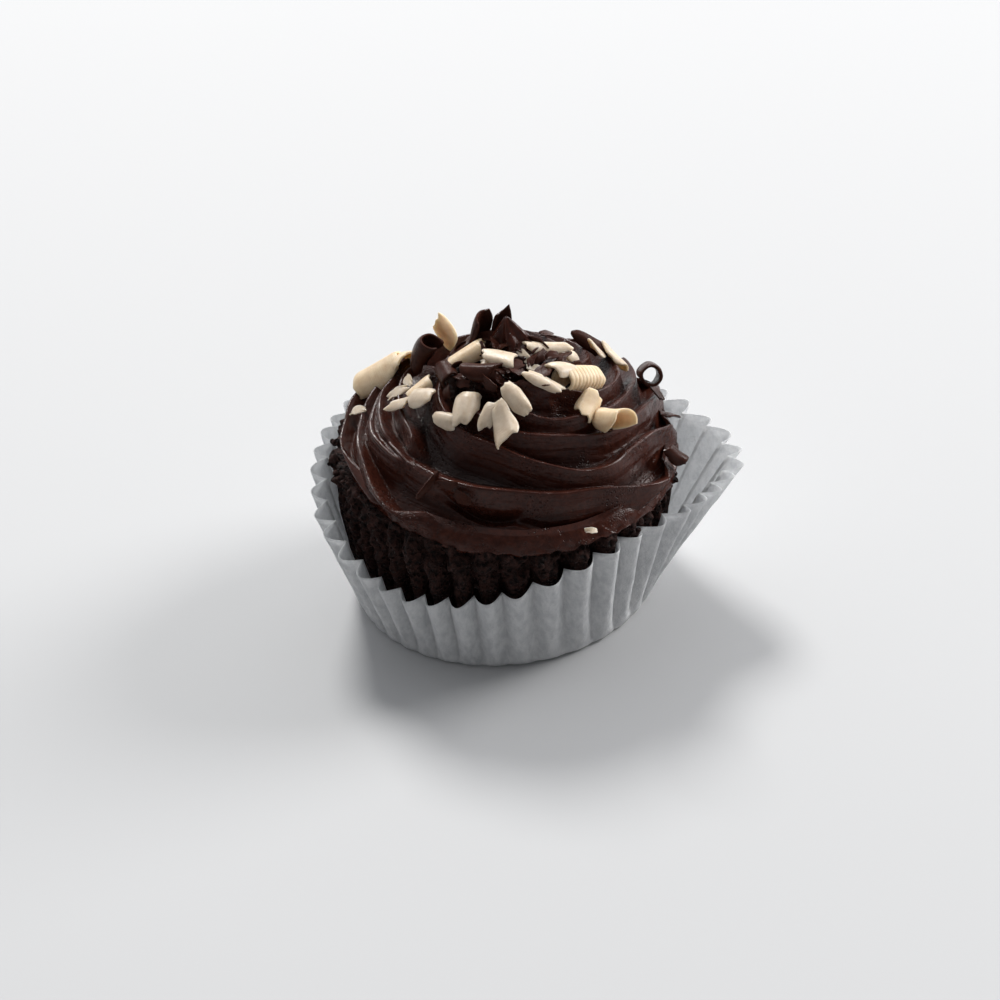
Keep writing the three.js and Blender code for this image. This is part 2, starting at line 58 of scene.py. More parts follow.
# [azimuth, lobe radius, height] of the case's rim, pulled open on the right and low at the front.
RIM = [
    [0, 39.4, 23.2], [14, 34.8, 24.2], [35, 31.6, 23.9], [60, 30.4, 24.5], [95, 29.8, 25.6],
    [150, 29.4, 26.0], [180, 30.4, 24.7], [198, 31.3, 21.0], [215, 30.7, 17.2], [240, 29.5, 15.0],
    [262, 29.3, 16.0], [288, 29.7, 19.4], [308, 29.8, 20.5], [324, 30.2, 19.8], [338, 35.2, 20.9],
    [350, 40.3, 22.5],
]

CAKE_FOOT = 24.2         # radius at the bottom
CAKE_RADIUS = 27.6       # radius at the crust
CAKE_SHIFT = 1.3         # how far the crust's centre lies to the right
CAKE_SWELL_HEIGHT = 20   # height at which the full radius is reached
CAKE_SWELL_POWER = 0.8

FROSTING_RADIUS = 28
FROSTING_HEIGHT = 22     # where the sides would meet
FROSTING_BULGE = 3.5     # height of the bulge at the bottom edge
FROSTING_UNDERCUT = 1    # how far the bottom edge lies inside the bulge
BULGE_SHARE = 0.1        # share of the outline's points on the bulge
CONE_POWER = 1.12        # how much the sides steepen downward
TOP_RADIUS = 7           # radius of the nearly flat top
TOP_RISE = 0.8
BACK_SQUASH = 0.06       # share by which the back is flatter
FROSTING_CENTRE = Vector((2.8, 0, 25.5))
LEAN_RIGHT = 5
LEAN_FRONT = 3.2
CREST = 0.4              # height of the crests over the plain cone
TWIST = 6                # degrees the mesh turns with each millimetre up the slope

# Piped ridges, each counter-clockwise and down: [azimuth, distance up the slope from the edge].
RIDGES = [
    [[20, 27.5], [60, 21.5], [85, 16], [105, 11.9], [150, 6.4], [179, 4.2], [207, 2.5], [225, 1.4]],
    [[70, 27.5], [100, 19.7], [120, 14.7], [150, 10.5], [179, 7.8], [199, 6.3], [218, 4.1], [240, 1.4]],
    [[150, 13.3], [178, 10.4], [191, 9.9], [224, 11.4]],
    [[60, 30.2], [100, 21.1], [140, 14.2], [181, 11.8], [222, 11.7], [249, 12.2], [277, 11.7], [306, 9.3],
     [328, 4.9], [342, 3.1]],
    [[140, 18], [158, 16], [192, 15.3], [205, 15.1], [221, 12.6]],
    [[155, 25.3], [226, 20.6], [257, 19.2], [279, 16.6], [299, 13.6], [314, 12.5], [331, 11.8],
     [346, 10.1], [356, 6.9], [368, 3.7]],
    [[218, 25.2], [264, 22], [303, 19.7], [322, 16.9], [336, 15.5], [353, 13.1], [365, 10.7],
     [385, 4.5], [395, 2.3]],
    [[253, 27.6], [284, 24.1], [318, 21.2], [350, 17.5], [366, 14.7], [384, 10.7], [395, 8.2],
     [412, 3.2]],
    [[200, 30.5], [252, 30.9], [284, 29.6], [319, 26.6], [349, 21.3], [387, 14.4], [405, 11.9],
     [430, 6.4], [445, 2.7]],
    [[355, 29], [386, 21.1], [400, 17.9], [430, 13.3], [455, 8.2], [475, 3.7]],
]

# Folded peak where the piping ended.
PEAK = {"azimuth": 93, "distance": 31.6, "radius": 3.2, "height": 5.6, "sunk": 1.2}

# Curls: azimuth and distance up the slope of the middle, heading of the long axis, length, width
# across the sheet, roll (degrees), taper of the far end, pitch and lean (degrees), lift of the middle.
WHITE_CURLS = [
    [147, 13.0, 60, 8.0, 6.5, 150, 0.2, 12, -20, 0.8],
    [154, 9.3, 108, 8.5, 7.0, 150, -0.5, 0, 15, 0.7],
    [130, 19.0, 0, 5.4, 4.2, 110, 0.8, 75, -126, 2.4],
    [162, 27.8, 119, 7.0, 4.6, 180, -0.2, 0, 0, -0.1],
    [196, 33.5, 45, 5.4, 3.6, 90, -0.3, 0, 0, -0.3],
    [24, 30.3, -102, 7.2, 3.6, 130, 0.3, 0, 0, -0.1],
    [16, 26.8, -81, 4.6, 3.0, 110, 0.2, 0, 10, -0.2],
    [37, 17.0, 70, 4.6, 3.6, 100, 0.9, 25, 0, 0.4],
    [32, 14.0, 25, 5.4, 2.8, 110, -0.6, 10, 20, 0.4],
    [342, 28.3, -46, 5.0, 5.0, 130, 0.4, 0, -35, 0.3],
    [349, 24.8, -48, 8.4, 9.2, 290, 0.15, 0, 0, 0.6],
    [303, 29.0, -49, 6.4, 2.8, 70, 0.6, 0, 0, -0.2],
    [328, 21.7, 11, 4.6, 4.0, 140, -0.4, 10, 0, 0.0],
    [327, 18.0, -122, 6.4, 7.6, 270, -0.5, 60, 0, 2.6],
    [268, 26.7, -43, 5.8, 4.2, 60, 0.9, 5, 0, 0.0],
    [226, 23.2, -64, 5.6, 5.4, 150, 0.4, 5, 0, 0.1],
    [218, 20.2, 20, 4.0, 3.2, 120, 0.2, 0, 0, -0.2],
    [246, 23.8, 83, 4.6, 3.2, 90, 0.8, 10, 0, -0.1],
    [260, 22.8, -66, 6.4, 3.6, 80, -0.7, 5, 20, 0.0],
    [181, 19.5, -68, 4.6, 3.6, 130, 0.4, 5, 0, 0.0],
    [194, 19.7, 35, 4.8, 3.2, 60, -0.7, 0, 0, -0.2],
    [186, 15.8, 64, 4.0, 2.6, 70, 0.3, 0, 0, -0.1],
]
DARK_CURLS = [
    [152, 18.5, 85, 7.0, 8.8, 230, 0.15, 42, 0, 2.0],
    [182, 24.4, 15, 5.0, 5.6, 220, 0.1, 5, 20, 0.4],
    [208, 29.7, 49, 5.8, 5.2, 180, 0.2, 0, -10, 0.0],
    [128, 28.2, 108, 5.6, 6.4, 130, 0.35, 55, 0, 1.7],
    [104, 29.0, 90, 5.2, 4.8, 170, 0.3, 62, 0, 1.7],
    [42, 15.5, 31, 5.8, 5.0, 240, 0.2, 5, 0, 1.2],
    [15, 11.2, 152, 4.6, 8.6, 320, 0, 18, 0, 3.4],
    [343, 4.8, 104, 4.2, 4.2, 240, 0.1, 10, 0, 0.0],
    [93, 15.1, 20, 5.6, 4.6, 190, 0.3, 5, 0, -0.5],
]
# Small flakes in the frosting: azimuth, distance, heading, length, width, lean, height of the middle.
WHITE_FLAKES = [
    [167, 16.8, 32, 3.4, 1.8, 20, 0.1], [174, 15.2, 87, 3.8, 1.8, 15, 0.1],
    [172, 7.0, 63, 3.2, 1.7, 10, 0], [26, 35.2, -170, 3.4, 2.0, 30, -0.3],
    [317, 31.8, -63, 3.2, 1.4, 10, -0.2], [193, 31.8, 61, 2.6, 1.2, 0, -0.3],
    [293, 4.0, -15, 1.9, 1.0, 0, 0],
]
DARK_FLAKES = [
    [231, 9.8, 80, 5.0, 1.4, 70, 0.2], [239, 11.1, 15, 3.4, 1.6, 40, 0.4],
    [246, 9.8, -20, 3.2, 1.8, 20, 0], [2, 6.5, 123, 3.6, 2.2, 35, 0.2],
    [200, 23.7, -21, 3.0, 2.0, 30, 0.1], [205, 26.3, 36, 2.6, 1.8, 20, 0.1],
    [233, 28.7, -13, 3.0, 1.8, 40, 0.1], [64, 19.5, -104, 4.2, 1.8, 20, 0.3],
    [120, 22.0, 10, 3.2, 1.6, 20, 0.1], [55, 13.7, 70, 3.0, 1.6, 15, 0.2],
    [88, 11.4, -30, 2.8, 1.5, 20, 0.2], [13, 9.0, 30, 4.0, 2.2, 0, 0.5],
]

# ---- Fine sizes of the frosting ----
CREST_BELOW = 5.4        # width of the flank under a crest
CREST_ABOVE = 1.3        # width of the steep side over it
FLANK_POWER = 1.55       # how hollow the flank is
CREST_ROUND = 0.4        # how rounded a crest is
RIDGE_END = 12           # degrees over which a ridge rises from nothing
RIDGE_WANDER = 0.14      # how far a ridge strays from its line
RIDGE_UNEVEN = 0.08      # share by which a ridge's height varies
FOOT_FADE = 2.5          # the ridges die out this near the bottom edge
TIP_FADE = 4             # and this near the tip
FROSTING_ROWS = 190
FROSTING_COLUMNS = 480
SWELL = 0.30             # height of the soft lumps all over
STREAK = 0.12            # height of the streaks along the ridges
JUMBLE_FROM = 22         # distance up the slope where the top starts to be broken up
JUMBLE_FULL = 30         # and where it is broken up in full
JUMBLE = 1.5             # height of the lumps there
# Hollow beside the inner ring.
PIT = {"azimuth": 229, "distance": 27.2, "radius": 2.6, "depth": 2.4}
# Folds and tears in the lowest band: rows of [azimuth, distance], depth, half width.
FOLDS = [
    ([[232, 9.9], [247, 9.2], [261, 8.4], [273, 7.2], [283, 6.3], [298, 5.5], [318, 3.8]], 0.75, 0.9),
    ([[236, 9.6], [244, 9.0], [254, 8.3], [262, 8.0], [272, 8.4]], 1.9, 1.1),
    ([[196, 10.6], [206, 12.0], [222, 11.8], [236, 11.6]], 0.5, 0.6),
]
DEEP = 3.2               # depth of the deepest line of a groove
LIP = 0.8                # how far the bottom edge of the frosting wanders up and down
LIP_FADE = 2.2           # and the distance up the slope over which that dies out


# ---- Curves, noise and frames ----

def curve_through(rows, column, periodic=False):
    """Cubic curve through [azimuth, value...] rows, its slope at a row taken from the two neighbours."""
    at = np.array([row[0] for row in rows], float)
    value = np.array([row[column] for row in rows], float)
    if periodic:
        at = np.concatenate((at[-2:] - 360, at, at[:2] + 360))
        value = np.concatenate((value[-2:], value, value[:2]))
    last = len(at) - 1
    step = np.arange(last + 1)
    before = np.maximum(step - 1, 0)
    after = np.minimum(step + 1, last)
    slope = (value[after] - value[before]) / (at[after] - at[before])

    def curve(angle):
        angle = np.mod(angle, 360) if periodic else np.asarray(angle, float)
        k = np.clip(np.searchsorted(at, angle, side="right") - 1, 0, last - 1)
        span = at[k + 1] - at[k]
        t = np.clip((angle - at[k]) / span, 0, 1)
        return (value[k] * (2 * t**3 - 3 * t**2 + 1) + slope[k] * span * (t**3 - 2 * t**2 + t)
                + value[k + 1] * (3 * t**2 - 2 * t**3) + slope[k + 1] * span * (t**3 - t**2))

    return curve


rim_radius = curve_through(RIM, 1, periodic=True)
rim_height = curve_through(RIM, 2, periodic=True)
pleat_azimuth = curve_through(PLEAT_SPREAD, 1)


def crease(pleat):
    """0 on a rounded lobe of the case, at a whole pleat, and 1 in the sharp crease between two."""
    return 1 - np.abs(np.cos(np.pi * pleat))


def polar(radius, azimuth, z):
    """Points from radius, azimuth in degrees and height."""
    angle = np.radians(azimuth)
    return np.stack(np.broadcast_arrays(radius * np.cos(angle), radius * np.sin(angle), z), axis=-1)


def grain(points, size, seed=0):
    """Smooth noise from -1 to 1 at points in millimetres, with lumps of about that size."""
    shift = Vector((seed * 7.3, seed * 3.1, seed * 5.7))
    return np.array([noise.noise(Vector(point) / size + shift) for point in points])


def rotation(axis, degrees):
    """Turn about an axis through the origin."""
    return Matrix.Rotation(math.radians(degrees), 4, axis)


FROSTING_TILT = rotation("X", LEAN_FRONT) @ rotation("Y", LEAN_RIGHT)
FROSTING_FRAME = Matrix.Translation(FROSTING_CENTRE) @ FROSTING_TILT


def carried(points, matrix):
    """Points moved by a 4 x 4 matrix."""
    m = np.array(matrix)
    return points @ m[:3, :3].T + m[:3, 3]


# ---- Frosting form ----

def frosting_outline(samples=400):
    """Radius, height and run of the plain cone, from its bottom edge up to the tip."""
    t = np.linspace(0, 1, samples + 1)
    low = np.minimum(t / BULGE_SHARE, 1)
    radius = np.where(low < 1, FROSTING_RADIUS - FROSTING_UNDERCUT * (1 - low)**2,
                      FROSTING_RADIUS * (1 - t) / (1 - BULGE_SHARE))
    slope = (np.maximum(radius, TOP_RADIUS) / FROSTING_RADIUS)**CONE_POWER
    top = TOP_RISE * (1 - np.minimum(radius / TOP_RADIUS, 1)**2)
    height = np.where(low < 1, FROSTING_BULGE * low,
                      FROSTING_BULGE + (FROSTING_HEIGHT - FROSTING_BULGE) * (1 - slope) + top)
    run = np.concatenate(([0], np.cumsum(np.hypot(np.diff(radius), np.diff(height)))))
    return radius, height, run


OUTLINE_RADIUS, OUTLINE_HEIGHT, OUTLINE_RUN = frosting_outline()
SLOPE_LENGTH = float(OUTLINE_RUN[-1])
TIP_HEIGHT = float(OUTLINE_HEIGHT[-1])


def outline_at(azimuth, distance):
    """Radius, height and outward direction of the plain cone at a distance up the slope."""
    wanted = np.clip(distance, 0, SLOPE_LENGTH)
    k = np.clip(np.searchsorted(OUTLINE_RUN, wanted), 1, len(OUTLINE_RUN) - 1)
    run = OUTLINE_RUN[k] - OUTLINE_RUN[k - 1]
    t = (wanted - OUTLINE_RUN[k - 1]) / run
    rise = OUTLINE_HEIGHT[k] - OUTLINE_HEIGHT[k - 1]
    reach = OUTLINE_RADIUS[k] - OUTLINE_RADIUS[k - 1]
    squash = 1 - BACK_SQUASH * np.maximum(0, np.sin(np.radians(azimuth)))**2
    radius = (OUTLINE_RADIUS[k - 1] + reach * t) * squash
    return radius, OUTLINE_HEIGHT[k - 1] + rise * t, rise / run, -reach / run


RIDGE_LINES = [(rows[0][0], rows[-1][0], curve_through(rows, 1)) for rows in RIDGES]


def crest_at(azimuth, distance):
    """How far the piped surface stands off the cone, 0 to 1, and the distance from its own crest."""
    highest = np.zeros_like(distance)
    across = np.full_like(distance, 9.0)
    for number, (start, end, line) in enumerate(RIDGE_LINES):
        for turn in (0, 360):
            angle = azimuth + turn
            inside = (angle >= start) & (angle <= end)
            wander = np.sin(np.radians(angle * 7 + number * 50)) * np.sin(np.radians(angle * 2.6))
            off = distance - line(angle) - RIDGE_WANDER * wander
            above = 1 - off / CREST_ABOVE
            below = np.clip(1 + off / CREST_BELOW, 0, 2)**FLANK_POWER
            lean = np.clip(0.5 + 0.5 * (above - below) / CREST_ROUND, 0, 1)
            share = above + (below - above) * lean - CREST_ROUND * lean * (1 - lean)
            ends = np.clip(np.minimum(angle - start, end - angle) / RIDGE_END, 0, 1)
            strength = ends * (1 + RIDGE_UNEVEN * np.sin(np.radians(angle * 5 + number * 90)))
            crest = np.where(inside, np.clip(share, 0, 1) * strength, 0)
            across = np.where(crest > highest, off, across)
            highest = np.maximum(highest, crest)
    return highest, across


def slope_frame(azimuth, distance, heading, lift):
    """Frame that lies on the plain cone: x along the heading, z outward."""
    radius, height, out_r, out_z = (float(v) for v in outline_at(azimuth, np.array(distance, float)))
    angle = math.radians(azimuth)
    around = Vector((-math.sin(angle), math.cos(angle), 0))
    out = Vector((out_r * math.cos(angle), out_r * math.sin(angle), out_z))
    up = out.cross(around)
    origin = Vector((radius * math.cos(angle), radius * math.sin(angle), height)) + out * lift
    basis = Matrix((around, up, out)).transposed().to_4x4()
    return FROSTING_FRAME @ Matrix.Translation(origin) @ basis @ rotation("Z", heading)


# ---- Making meshes ----

def finished(name, bm, material, nodes=()):
    """Turns a bmesh in millimetres into a piece in metres that rides on the one body."""
    bmesh.ops.scale(bm, vec=(MM, MM, MM), verts=bm.verts)
    for face in bm.faces:
        face.smooth = True
    mesh = bpy.data.meshes.new(name)
    bm.to_mesh(mesh)
    bm.free()
    piece = bpy.data.objects.new(name, mesh)
    bpy.context.collection.objects.link(piece)
    piece.data.materials.append(material)
    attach(piece, "root")
    if nodes:
        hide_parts(*nodes)
    return piece


def turned(rows, columns, place):
    """A closed turned solid whose rings are placed by place(share of the turn, row); its ends are on
    the axis."""
    bm = bmesh.new()
    profile = [bm.verts.new((0 if row in (0, rows - 1) else 1, 0, row)) for row in range(rows)]
    edges = [bm.edges.new(pair) for pair in zip(profile, profile[1:])]
    bmesh.ops.spin(bm, geom=profile + edges, cent=(0, 0, 0), axis=(0, 0, 1), angle=2 * math.pi,
                   steps=columns, use_merge=True)
    bmesh.ops.remove_doubles(bm, verts=bm.verts, dist=1e-4)
    raw = np.array([vert.co for vert in bm.verts])
    share = np.rint(np.arctan2(raw[:, 1], raw[:, 0]) / (2 * np.pi) * columns) % columns / columns
    row = np.rint(raw[:, 2])
    placed = place(share, row)
    for vert, point in zip(bm.verts, placed):
        vert.co = point
    bmesh.ops.recalc_face_normals(bm, faces=bm.faces)
    return bm, share, row


def note(piece, name, values):
    """Keeps one vector for each vertex, for the material to read."""
    layer = piece.data.attributes.new(name, "FLOAT_VECTOR", "POINT")
    layer.data.foreach_set("vector", np.asarray(values, np.float32).ravel())


# ---- Finishes ----

class Value:
    """An output of a shader node; arithmetic on it adds Math nodes."""

    def __init__(self, paint, out):
        self.paint = paint
        self.out = out

    def math(self, operation, first, second=0.0, clamp=False):
        settings = {"operation": operation, "use_clamp": clamp}
        return self.paint.node("ShaderNodeMath", settings, {0: first, 1: second})

    def __add__(self, other):
        return self.math("ADD", self, other)

    def __radd__(self, other):
        return self.math("ADD", other, self)

    def __sub__(self, other):
        return self.math("SUBTRACT", self, other)

    def __rsub__(self, other):
        return self.math("SUBTRACT", other, self)

    def __mul__(self, other):
        return self.math("MULTIPLY", self, other)

    def __rmul__(self, other):
        return self.math("MULTIPLY", other, self)

    def between(self, low, high):
        """0 below low, 1 above high, straight in between."""
        return self.math("MULTIPLY", self - low, 1 / (high - low), clamp=True)


class Paint:
    """The nodes of a new material, or of a new world."""

    def __init__(self, name, kind=None):
        self.owner = (bpy.data.materials if kind is None else kind).new(name)
        self.owner.use_nodes = True
        self.tree = self.owner.node_tree
        self.tree.nodes.clear()

    def node(self, kind, settings=None, sockets=None, output=0):
        """Adds a node: its settings (stops are a ramp's places and colours), then the values or links
        of its sockets, by name or number."""
        made = self.tree.nodes.new(kind)
        for key, value in (settings or {}).items():
            if key == "stops":
                for place, colour in value[2:]:
                    made.color_ramp.elements.new(place)
                for element, (place, colour) in zip(made.color_ramp.elements, value):
                    element.position = place
                    element.color = (*colour, 1)
            else:
                setattr(made, key, value)
        for key, value in (sockets or {}).items():
            if isinstance(key, int):
                socket = made.inputs[key]
            else:
                socket = next(s for s in made.inputs if s.name == key and s.enabled)
            if isinstance(value, Value):
                self.tree.links.new(value.out, socket)
            elif isinstance(value, tuple) and socket.type == "RGBA":
                socket.default_value = (*value, 1)
            else:
                socket.default_value = value
        if isinstance(output, str):
            return Value(self, made.outputs[output])
        outs = [out for out in made.outputs if out.enabled]
        return Value(self, outs[output]) if outs else None

    def place(self, stretch=(1, 1, 1)):
        """The place on the object in millimetres, stretched along its axes."""
        spot = self.node("ShaderNodeTexCoord", output="Object")
        scale = tuple(share / MM for share in stretch)
        return self.node("ShaderNodeMapping", {}, {"Vector": spot, "Scale": scale})

    def attribute(self, name):
        return self.node("ShaderNodeAttribute", {"attribute_name": name}, output="Vector")

    def clouds(self, vector, scale, detail=2.0, rough=0.5):
        sockets = {"Vector": vector, "Scale": scale, "Detail": detail, "Roughness": rough}
        return self.node("ShaderNodeTexNoise", {}, sockets, "Fac")

    def cells(self, vector, scale):
        return self.node("ShaderNodeTexVoronoi", {}, {"Vector": vector, "Scale": scale}, "Distance")

    def mix(self, factor, first, second):
        return self.node("ShaderNodeMix", {"data_type": "RGBA"}, {"Factor": factor, "A": first, "B": second})

    def split(self, vector, axis):
        return self.node("ShaderNodeSeparateXYZ", {}, {"Vector": vector}, axis)

    def bump(self, height, distance, strength=1.0):
        sockets = {"Height": height, "Distance": distance * MM, "Strength": strength}
        return self.node("ShaderNodeBump", {}, sockets)

    def surface(self, **named):
        """The Principled shader, with its sockets by name (Base_Color for Base Color), to the output."""
        sockets = {key.replace("_", " "): value for key, value in named.items()}
        shader = self.node("ShaderNodeBsdfPrincipled", {}, sockets)
        self.node("ShaderNodeOutputMaterial", {}, {"Surface": shader})
        return self.owner


FROSTING_SHADE = (0.031, 0.0078, 0.0047)
FROSTING_LIGHT = (0.060, 0.0160, 0.0094)
# painted shade in the pits
FROSTING_PAINTED_PIT_SHADE = (0.018, 0.005, 0.004)
# painted shade deep in the grooves
FROSTING_PAINTED_GROOVE_SHADE = (0.009, 0.0024, 0.0016)
CRUMB_SHADE = (0.0035, 0.0012, 0.0009)
CRUMB_LIGHT = (0.056, 0.0215, 0.0165)
# painted shade in the crumb's holes
CRUMB_PAINTED_HOLE_SHADE = (0.003, 0.0016, 0.0014)
PAPER_SHADE = (0.68, 0.69, 0.70)
PAPER_WHITE = (0.97, 0.97, 0.97)
PAPER_SPECK = (0.16, 0.09, 0.06)
PAPER_LIT_THROUGH = (0.88, 0.89, 0.90)
PAPER_SHOWS_THROUGH = 0.45          # share of the light that the paper lets through


def frosting_finish():
    """Satin chocolate frosting: streaks along the ridges, pits and small bubbles, and painted shade in the
    grooves and pits.
    """
    paint = Paint("satin_chocolate_frosting")
    flow = paint.attribute("flow")
    spot = paint.place()
    patches = paint.clouds(spot, 0.16, 3)
    mottle = paint.clouds(spot, 1.1, 3)
    fine = paint.clouds(spot, 4.5, 2)
    streaks = paint.clouds(flow, 1.6, 3, 0.6)
    pits = 1 - paint.cells(spot, 1.9).between(0.06, 0.32)
    rough_zone = patches.between(0.48, 0.66)
    crest = paint.split(flow, "Z")
    colour = paint.mix(mottle.between(0.3, 0.75), FROSTING_SHADE, FROSTING_LIGHT)
    # Painted shade in the pits, where the frosting is rough.
    colour = paint.mix(pits * rough_zone * 0.7, colour, FROSTING_PAINTED_PIT_SHADE)
    # Painted shade in the grooves: darker where the crest height is low.
    colour = paint.mix(crest.between(-0.1, 0.4), FROSTING_PAINTED_GROOVE_SHADE, colour)
    height = streaks * 0.6 + mottle * 0.35 + fine * (0.16 + rough_zone * 0.35) - pits * rough_zone * 0.9
    return paint.surface(
        Base_Color=colour,
        Roughness=0.12 + 0.1 * mottle.between(0.3, 0.7) + 0.12 * rough_zone,
        Normal=paint.bump(height, 0.24, 1.0),
        Specular_IOR_Level=0.21,
    )


def crumb_finish():
    """Nearly black moist crumb with painted shade in its holes, and tiny glints."""
    paint = Paint("dark_cake_crumb")
    spot = paint.place()
    lumps = paint.clouds(spot, 0.9, 5, 0.65)
    holes = 1 - paint.cells(spot, 1.1).between(0.1, 0.42)
    colour = paint.mix(lumps.between(0.35, 0.7), CRUMB_SHADE, CRUMB_LIGHT)
    # Painted shade in the holes.
    colour = paint.mix(holes * 0.8, colour, CRUMB_PAINTED_HOLE_SHADE)
    return paint.surface(
        Base_Color=colour,
        Roughness=0.8 - 0.45 * paint.clouds(spot, 2.3, 2).between(0.55, 0.72),
        Normal=paint.bump(lumps - holes * 0.7, 1.1, 1.0),
        Specular_IOR_Level=0.16,
    )


def chocolate_finish(name, shade, light, roughness, soft, gloss):
    """Shaved chocolate: faint scratches along the knife's way and a mottled bloom."""
    paint = Paint(name)
    sheet = paint.attribute("sheet")
    spot = paint.place()
    mottle = paint.clouds(spot, 0.7, 3)
    scratches = paint.clouds(sheet, 1.0, 3, 0.6)
    colour = paint.mix(mottle.between(0.3, 0.7), shade, light)
    return paint.surface(
        Base_Color=colour,
        Roughness=roughness + 0.15 * scratches.between(0.3, 0.7),
        Normal=paint.bump(scratches * 0.6 + mottle * 0.4, 0.20, 0.7),
        Subsurface_Weight=soft,
        Subsurface_Radius=(1.0, 0.85, 0.65),
        Subsurface_Scale=1.6 * MM,
        Specular_IOR_Level=gloss,
    )


def paper_finish():
    """White greaseproof paper that lets some light through: fibre, faint mottling, brown specks."""
    paint = Paint("white_greaseproof_paper")
    spot = paint.place()
    fibre = paint.clouds(spot, 2.6, 4, 0.7)
    wrinkle = paint.clouds(spot, 0.35, 3)
    mottle = paint.clouds(paint.place((0.9, 0.9, 0.5)), 1.0, 5, 0.72)    # drawn out up the wall
    speck = 1 - paint.cells(spot, 0.24).between(0.035, 0.075)
    grease = paint.clouds(spot, 0.12, 2).between(0.5, 0.7)
    colour = paint.mix(mottle.between(0.36, 0.62), PAPER_SHADE, PAPER_WHITE)
    colour = paint.mix(speck * grease * 0.7, colour, PAPER_SPECK)
    normal = paint.bump(fibre * 0.5 + wrinkle + mottle * 0.6, 0.25, 0.9)
    face = paint.node("ShaderNodeBsdfPrincipled", {}, {
        "Base Color": colour, "Roughness": 0.62, "Normal": normal, "Specular IOR Level": 0.25})
    through = paint.node("ShaderNodeBsdfTranslucent", {}, {"Color": PAPER_LIT_THROUGH, "Normal": normal})
    both = paint.node("ShaderNodeMixShader", {}, {0: PAPER_SHOWS_THROUGH, 1: face, 2: through})
    paint.node("ShaderNodeOutputMaterial", {}, {"Surface": both})
    return paint.owner


# ---- Paper case ----

CASE_COLUMNS = PLEATS * 12
CASE_BOTTOM = [8, 16, 22]     # radii of the rings of the flat bottom
CASE_LEVELS = [0, 0.03, 0.07, 0.12, 0.2, 0.3, 0.4, 0.5, 0.6, 0.7, 0.8, 0.88, 0.95, 1]
CASE_CORNER = 0.9             # how far the wall's foot is rounded in
CASE_SHEET = 0.14             # thickness of the paper
CASE_IN = 0.1                 # its outer face lies this far inside the solid's
PLEAT_UNEVEN = 0.12           # share by which one pleat is deeper than the next
PLEAT_FOOT = 0.15             # share of the height under which the pleats die out
PLEAT_LEAST = 0.3             # and what is left of them at the foot
RIM_UNEVEN = 0.35             # how much one pleat's rim stands over the next
WRINKLE = 0.14                # depth of the crumples


def uneven(pleat, seed):
    """A number from -1 to 1 for each pleat, changing smoothly in between."""
    whole = np.mod(pleat, PLEATS)
    return np.sin(whole * 2.4 + seed) * np.sin(2 * np.pi * whole * 9 / PLEATS + seed)


def case_wall(pleat, level, inset):
    """Point of the wall at a share of its height, moved inward by inset."""
    azimuth = pleat_azimuth(pleat)
    flare = (rim_radius(azimuth) - BASE_RADIUS) * level
    corner = CASE_CORNER * np.clip(1 - level / CASE_LEVELS[1], 0, 1)
    depth = PLEAT_DEPTH * (PLEAT_AT_BASE + (1 - PLEAT_AT_BASE) * level**PLEAT_RISE)
    depth = depth * (1 + PLEAT_UNEVEN * uneven(pleat, 0) * level)
    depth = depth * np.clip(PLEAT_LEAST + level / PLEAT_FOOT, 0, 1)
    radius = BASE_RADIUS + flare - corner - depth * crease(pleat) - inset
    rim = rim_height(azimuth) + RIM_UNEVEN * uneven(pleat, 2) * level
    return polar(radius, azimuth, rim * level)


def paper_case():
    """One sheet, folded into pleats: the outer face from the bottom's centre to the rim, and back."""
    outer = [("bottom", radius, 0) for radius in CASE_BOTTOM]
    outer += [("wall", level, CASE_IN) for level in CASE_LEVELS]
    inner = [(kind, value, inset + CASE_SHEET) for kind, value, inset in reversed(outer)]
    rings = [("bottom", 0, 0)] + outer + inner + [("bottom", 0, CASE_SHEET)]

    def place(share, row):
        pleat = PLEATS * share
        placed = np.zeros((len(row), 3))
        middle = np.zeros((len(row), 3))
        level = np.zeros(len(row))
        for number, (kind, value, inset) in enumerate(rings):
            here = row == number
            if kind == "bottom":
                placed[here] = polar(value, pleat_azimuth(pleat[here]), inset)
            else:
                placed[here] = case_wall(pleat[here], value, inset)
                placed[here, 2] = np.maximum(placed[here, 2], inset - CASE_IN)
                middle[here] = case_wall(pleat[here], value, 0)
                level[here] = value
        crumples = (grain(middle, 4.0, 11) + 0.5 * grain(middle, 1.7, 12)) * np.clip(level * 2, 0, 1)
        return placed + polar(WRINKLE, pleat_azimuth(pleat), 0) * crumples[:, None]

    bm, _, _ = turned(len(rings), CASE_COLUMNS, place)
    return finished("pleated_paper_case", bm, paper_finish(), ["paper_case"])


# ---- Cake ----

CAKE_COLUMNS = PLEATS * 12
CAKE_LEVELS = 18              # rings of the side inside the case
CRUST_RINGS = 26              # rings of the crust over the case's rim
TOP_RINGS = 6                 # rings of the top, under the frosting
CAKE_INSET = 0.5              # the side's distance from the paper's outer face
CAKE_OVER_PAPER = 0.1         # gap under the cake
CAKE_IN_FROSTING = 0.1        # how far the cake's top stands in the frosting
CAKE_FLUTE = 3.6              # depth of the flutes
FLUTE_NARROW = 1.5            # how narrow the gaps between the crust's flutes are
CRUST_LEAST = 1.2             # least height of the crust that shows
CRUMBS = 150                  # loose crumbs on the crust
CRUMB_SIZES = (0.25, 0.7)     # their least and greatest radius


def frosting_plane(x, y, drop):
    """Height of the frosting's bottom plane, less drop, over a point."""
    normal = FROSTING_TILT @ Vector((0, 0, 1))
    level = FROSTING_CENTRE - normal * drop
    return level.z - (normal.x * (x - level.x) + normal.y * (y - level.y)) / normal.z


